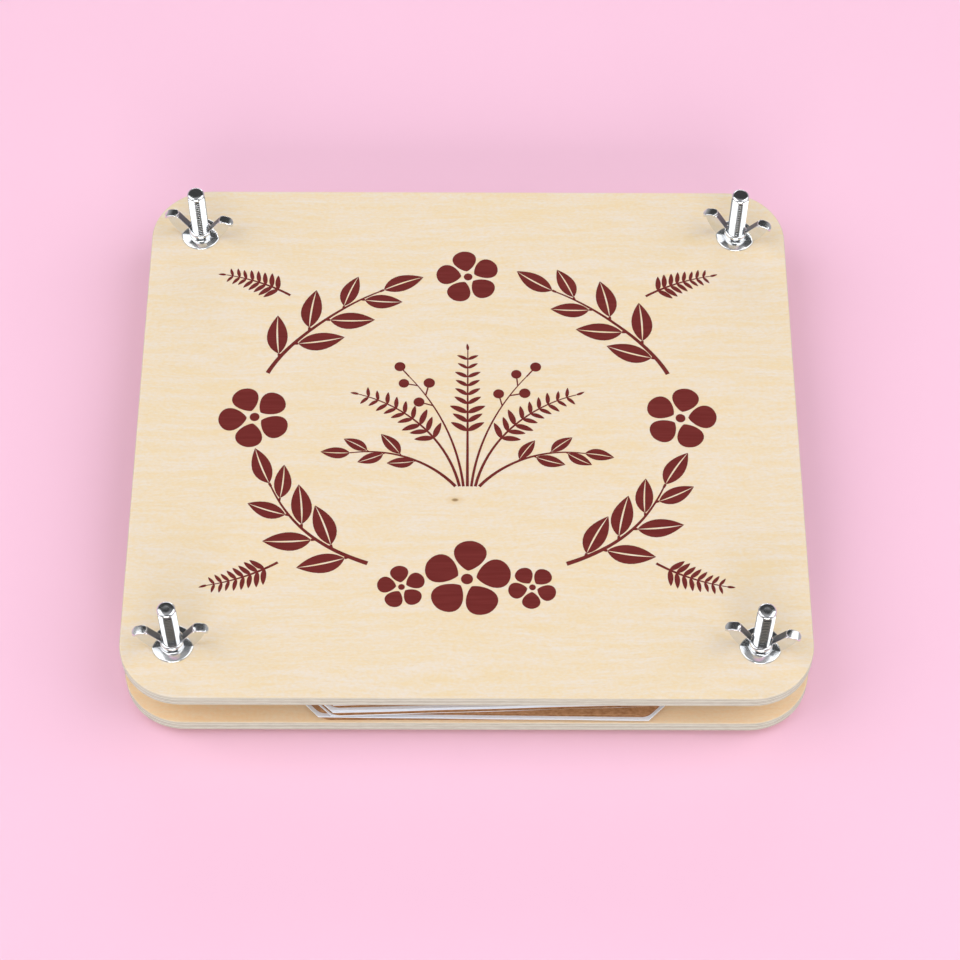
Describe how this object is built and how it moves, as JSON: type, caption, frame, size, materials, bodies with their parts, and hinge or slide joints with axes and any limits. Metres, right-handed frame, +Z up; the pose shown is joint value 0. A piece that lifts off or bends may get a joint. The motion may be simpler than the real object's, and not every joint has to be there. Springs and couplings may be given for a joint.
{
  "type": "flower press",
  "caption": "Flat hobby press: rounded plywood boards clamp a stack of blotting papers and cards with carriage bolts and wing nuts at the corners, to press and dry flowers.",
  "frame": {"origin": "on the plane that the bolt heads stand on, under the middle of the press", "axes": "+X along the boards' long side to the right, +Y to the back, +Z up along the bolts"},
  "size_m": [0.22, 0.2, 0.0484],
  "materials": {
    "birch_plywood": "sanded birch veneer with a faint grain, plies showing at the edges, a dark-red print on the upper face of the top board",
    "zinc_steel": "bright zinc-plated steel, rolled thread on the bolts",
    "blotting_paper": "matt white absorbent paper",
    "brown_card": "matt brown kraft card"
  },
  "bodies": {
    "base": {"bottom_board": "birch_plywood", "carriage_bolt_front_left": "zinc_steel", "carriage_bolt_front_right": "zinc_steel", "carriage_bolt_back_left": "zinc_steel", "carriage_bolt_back_right": "zinc_steel"},
    "top_board": {"top_board": "birch_plywood"},
    "wing_nut_front_left": {"wing_nut_front_left": "zinc_steel"},
    "wing_nut_front_right": {"wing_nut_front_right": "zinc_steel"},
    "wing_nut_back_left": {"wing_nut_back_left": "zinc_steel"},
    "wing_nut_back_right": {"wing_nut_back_right": "zinc_steel"},
    "card_1": {"card_1": "brown_card"},
    "blotter_1": {"blotter_1": "blotting_paper"},
    "card_2": {"card_2": "brown_card"},
    "blotter_2": {"blotter_2": "blotting_paper"},
    "card_3": {"card_3": "brown_card"},
    "blotter_3": {"blotter_3": "blotting_paper"},
    "blotter_4": {"blotter_4": "blotting_paper"},
    "card_4": {"card_4": "brown_card"},
    "blotter_5": {"blotter_5": "blotting_paper"},
    "card_5": {"card_5": "brown_card"}
  },
  "joints": [
    {"name": "top_board_lift", "type": "slide", "parent": "base", "child": "top_board", "axis": [0, 0, 1], "range_m": [0, 0.017]},
    {"name": "wing_nut_front_left_turn", "type": "hinge", "parent": "top_board", "child": "wing_nut_front_left", "pos_m": [-0.093, -0.081, 0.0254], "axis": [0, 0, 1], "range_deg": [0, 6120]},
    {"name": "wing_nut_front_right_turn", "type": "hinge", "parent": "top_board", "child": "wing_nut_front_right", "pos_m": [0.093, -0.081, 0.0254], "axis": [0, 0, 1], "range_deg": [0, 6120]},
    {"name": "wing_nut_back_left_turn", "type": "hinge", "parent": "top_board", "child": "wing_nut_back_left", "pos_m": [-0.093, 0.081, 0.0254], "axis": [0, 0, 1], "range_deg": [0, 6120]},
    {"name": "wing_nut_back_right_turn", "type": "hinge", "parent": "top_board", "child": "wing_nut_back_right", "pos_m": [0.093, 0.081, 0.0254], "axis": [0, 0, 1], "range_deg": [0, 6120]},
    {"name": "card_1_lift", "type": "slide", "parent": "base", "child": "card_1", "axis": [0, 0, 1], "range_m": [0, 0.00154]},
    {"name": "blotter_1_lift", "type": "slide", "parent": "base", "child": "blotter_1", "axis": [0, 0, 1], "range_m": [0, 0.00309]},
    {"name": "card_2_lift", "type": "slide", "parent": "base", "child": "card_2", "axis": [0, 0, 1], "range_m": [0, 0.00464]},
    {"name": "blotter_2_lift", "type": "slide", "parent": "base", "child": "blotter_2", "axis": [0, 0, 1], "range_m": [0, 0.00618]},
    {"name": "card_3_lift", "type": "slide", "parent": "base", "child": "card_3", "axis": [0, 0, 1], "range_m": [0, 0.00773]},
    {"name": "blotter_3_lift", "type": "slide", "parent": "base", "child": "blotter_3", "axis": [0, 0, 1], "range_m": [0, 0.00927]},
    {"name": "blotter_4_lift", "type": "slide", "parent": "base", "child": "blotter_4", "axis": [0, 0, 1], "range_m": [0, 0.01082]},
    {"name": "card_4_lift", "type": "slide", "parent": "base", "child": "card_4", "axis": [0, 0, 1], "range_m": [0, 0.01236]},
    {"name": "blotter_5_lift", "type": "slide", "parent": "base", "child": "blotter_5", "axis": [0, 0, 1], "range_m": [0, 0.01391]},
    {"name": "card_5_lift", "type": "slide", "parent": "base", "child": "card_5", "axis": [0, 0, 1], "range_m": [0, 0.01545]}
  ],
  "couplings": [
    {"joint": "wing_nut_front_left_turn", "follows": "top_board_lift", "rad_per_m": 6283.2},
    {"joint": "wing_nut_front_right_turn", "follows": "top_board_lift", "rad_per_m": 6283.2},
    {"joint": "wing_nut_back_left_turn", "follows": "top_board_lift", "rad_per_m": 6283.2},
    {"joint": "wing_nut_back_right_turn", "follows": "top_board_lift", "rad_per_m": 6283.2},
    {"joint": "card_1_lift", "follows": "top_board_lift", "ratio": 0.090909},
    {"joint": "blotter_1_lift", "follows": "top_board_lift", "ratio": 0.18182},
    {"joint": "card_2_lift", "follows": "top_board_lift", "ratio": 0.27273},
    {"joint": "blotter_2_lift", "follows": "top_board_lift", "ratio": 0.36364},
    {"joint": "card_3_lift", "follows": "top_board_lift", "ratio": 0.45454},
    {"joint": "blotter_3_lift", "follows": "top_board_lift", "ratio": 0.54546},
    {"joint": "blotter_4_lift", "follows": "top_board_lift", "ratio": 0.63636},
    {"joint": "card_4_lift", "follows": "top_board_lift", "ratio": 0.72727},
    {"joint": "blotter_5_lift", "follows": "top_board_lift", "ratio": 0.81818},
    {"joint": "card_5_lift", "follows": "top_board_lift", "ratio": 0.90909}
  ]
}
